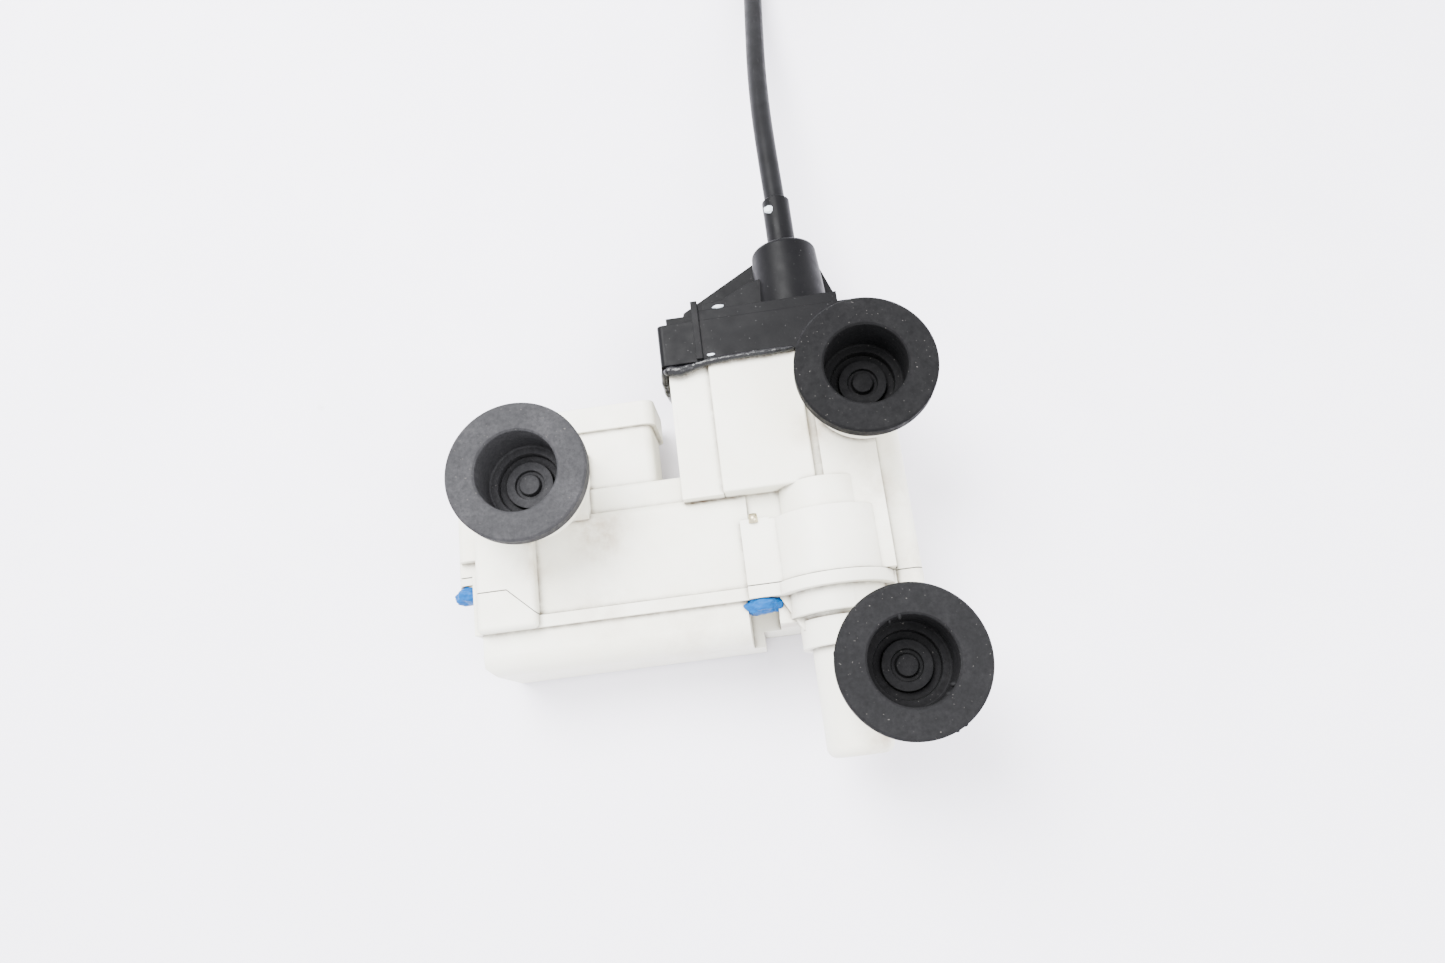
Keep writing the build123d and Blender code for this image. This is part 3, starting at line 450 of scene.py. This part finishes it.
def bead(points, sides=16, rings_per_mm=2.2, wobble=0.18, seed=3):
    """A closed uneven bead through points of (x, y, z, radius), all in millimetres."""
    mesh = bmesh.new()
    line = []
    for a, b in zip(points, points[1:]):
        steps = max(2, int((Vector(b[:3]) - Vector(a[:3])).length * rings_per_mm))
        line += [Vector(a).lerp(Vector(b), n / steps) for n in range(steps)]
    line.append(Vector(points[-1]))
    rings = []
    for n, here in enumerate(line):
        ahead, behind = line[min(n + 1, len(line) - 1)], line[max(n - 1, 0)]
        run = (ahead.to_3d() - behind.to_3d()).normalized()
        side = run.cross(Vector((0.1, 0.2, 1))).normalized()
        up = side.cross(run)
        ring = []
        for k in range(sides):
            turn = 2 * math.pi * k / sides
            out = side * math.cos(turn) + up * math.sin(turn)
            place = here.to_3d() + out * here.w
            swell = 1 + wobble * noise.noise(place * 0.55 + Vector((seed, 0, 0)))
            ring.append(mesh.verts.new((here.to_3d() + out * here.w * swell) * MM))
        rings.append(ring)
    for first, second in zip(rings, rings[1:]):
        for k in range(sides):
            mesh.faces.new((first[k], first[(k + 1) % sides], second[(k + 1) % sides], second[k]))
    mesh.faces.new(list(reversed(rings[0])))
    mesh.faces.new(rings[-1])
    return mesh


def make_sealant():
    """The squeezed-out bead along the cap's foot, thickest at its left corner, and the one down its side."""
    sealant = FINISHES["sealant"]
    front = mesh_piece("sealant_front", bead(FRONT_BEAD), sealant, "housing")
    mesh_piece("sealant_side", bead(SIDE_BEAD, seed=9), sealant, "housing")
    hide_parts("cap_sealant")


def uneven_drops(name, drops, material, fineness=5):
    """Flattened, uneven drops as one piece, each given by its centre and its half sizes in millimetres."""
    mesh = bmesh.new()
    for seed, (centre, size) in enumerate(drops, len(name)):
        drop = bmesh.ops.create_icosphere(mesh, subdivisions=fineness, radius=1.0)
        for vert in drop["verts"]:
            way = vert.co.normalized()
            swell = 1 + 0.22 * noise.noise(way * 1.7 + Vector((seed, 0, 0))) + 0.08 * noise.noise(way * 5)
            vert.co = Vector([(c + w * s * swell) * MM for c, w, s in zip(centre, way, size)])
    mesh_piece(name, mesh, material, "housing")


def make_paint_marks():
    """Blue paint smeared over the two screws that show."""
    uneven_drops("paint_left_screw", LEFT_PAINT, PAINT)
    uneven_drops("paint_middle_screw", MIDDLE_PAINT, PAINT)


def make_screw_tip():
    """A short bare stub on the case beside the drum. It stands above the middle screw's own axis."""
    mesh = bmesh.new()
    lay_along_y = Matrix.Rotation(math.radians(90), 4, "X")
    bmesh.ops.create_cone(
        mesh,
        cap_ends=True,
        segments=32,
        radius1=STUB_TIP_R * MM,
        radius2=STUB_ROOT_R * MM,
        depth=STUB_LENGTH * MM,
        matrix=Matrix.Translation(Vector(STUB_CENTRE) * MM) @ lay_along_y,
    )
    mesh_piece("middle_screw_tip", mesh, FINISHES["zinc"], "housing")


def make_small_marks():
    """Pale glue on the sleeve and the cap, and torn crumbs of rubber round the lower bush's rims."""
    uneven_drops("glue_on_sleeve", SLEEVE_GLUE, GLUE)
    uneven_drops("glue_on_web", CAP_GLUE, GLUE)
    x, y = BUSH_LOWER
    crumbs = []
    for turn, out, z, size in TEARS:
        place = (x + out * math.cos(math.radians(turn)), y + out * math.sin(math.radians(turn)), z)
        crumbs.append((place, size))
    uneven_drops("rubber_crumbs", crumbs, FINISHES["bush_rubber"], fineness=3)


def make_cable():
    """The sheathed cable: one smooth spline out of the sleeve, over the table and round its coil."""
    points = list(ROUTE)
    steps = int(COIL_TURNS * TURN_POINTS)
    reach = COIL_R / math.cos(math.pi / TURN_POINTS)
    for n in range(steps):
        angle = math.pi - 2 * math.pi * (n + 0.5) / TURN_POINTS
        climbed = min(1.0, max(0.0, (n - CLIMB_DELAY) / (steps - CLIMB_MARGIN)))
        height = CONDUIT_R + 2 * CONDUIT_R * climbed
        points.append(
            (COIL_CENTRE[0] + reach * math.cos(angle), COIL_CENTRE[1] + reach * math.sin(angle), height)
        )
    top = COIL_CENTRE[1] + COIL_R
    points.append((COIL_CENTRE[0] + COIL_EXIT, top, 3 * CONDUIT_R))
    points.append((COIL_CENTRE[0] + FERRULE_START + FERRULE_COVER, top, 3 * CONDUIT_R))
    curve = bpy.data.curves.new("cable", "CURVE")
    curve.dimensions = "3D"
    spline = curve.splines.new("NURBS")
    spline.points.add(len(points) - 1)
    for point, place in zip(spline.points, points):
        point.co = (*place, 1.0)
    spline.order_u = 3
    spline.use_endpoint_u = True
    spline.resolution_u = 8
    curve.bevel_depth = CONDUIT_R
    curve.bevel_resolution = 6
    curve.use_fill_caps = True
    curve.materials.append(FINISHES["conduit_sheath"])
    cable = bpy.data.objects.new("cable", curve)
    bpy.context.scene.collection.objects.link(cable)
    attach(cable, "housing")
    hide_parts("conduit", "conduit_coil")


# ---- Stage, light and camera ----------------------------------------------------------------


def make_floor():
    """A wide pale sheet with faint smudges."""
    mesh = bmesh.new()
    bmesh.ops.create_grid(mesh, x_segments=2, y_segments=2, size=FLOOR_HALF)
    data = bpy.data.meshes.new("floor")
    mesh.to_mesh(data)
    mesh.free()
    floor = bpy.data.objects.new("floor", data)
    bpy.context.scene.collection.objects.link(floor)
    s = Shader("pale_sheet")
    color = s.mix(s.span(s.noise(14, 5), 0.4, 0.75), (0.850, 0.832, 0.905), (0.815, 0.798, 0.865))
    smudged = s.mix(s.span(s.noise(55, 2), 0.765, 0.80, 0.0, 0.35), color, (0.45, 0.44, 0.46))
    s.bump(s.noise(300, 4), 0.02)
    data.materials.append(s.done(smudged, s.span(s.noise(60), 0.3, 0.7, 0.5, 0.65)))


def area_light(name, place, size, power):
    """A round soft lamp that faces the object."""
    light = bpy.data.lights.new(name, "AREA")
    light.shape = "DISK"
    light.size = size
    light.energy = power
    lamp = bpy.data.objects.new(name, light)
    lamp.location = place
    lamp.rotation_euler = (Vector(LAMPS_AIM) - Vector(place)).to_track_quat("-Z", "Y").to_euler()
    bpy.context.scene.collection.objects.link(lamp)


def make_light():
    """A bright white surround with two broad soft lamps."""
    world = bpy.data.worlds.new("studio")
    world.use_nodes = True
    background = world.node_tree.nodes["Background"]
    background.inputs["Color"].default_value = (0.97, 0.97, 1.0, 1.0)
    background.inputs["Strength"].default_value = SURROUND_STRENGTH
    bpy.context.scene.world = world
    for lamp in LAMPS:
        area_light(*lamp)


def make_camera():
    """A camera above the object, looking almost straight down."""
    camera_data = bpy.data.cameras.new("camera")
    camera_data.sensor_width = SENSOR_MM
    camera_data.lens = LENS_MM
    camera_data.clip_start = 0.01
    camera = bpy.data.objects.new("camera", camera_data)
    right = Vector(CAMERA_RIGHT).normalized()
    back = Vector(CAMERA_BACK)
    back = (back - right * back.dot(right)).normalized()
    up = back.cross(right)
    turn = Matrix((right, up, back)).transposed().to_4x4()
    camera.matrix_world = Matrix.Translation(CAMERA_PLACE) @ turn
    bpy.context.scene.collection.objects.link(camera)
    bpy.context.scene.camera = camera


make_camera()
make_cable()
finish_cad_nodes()
make_sealant()
make_paint_marks()
make_screw_tip()
make_small_marks()
make_floor()
make_light()
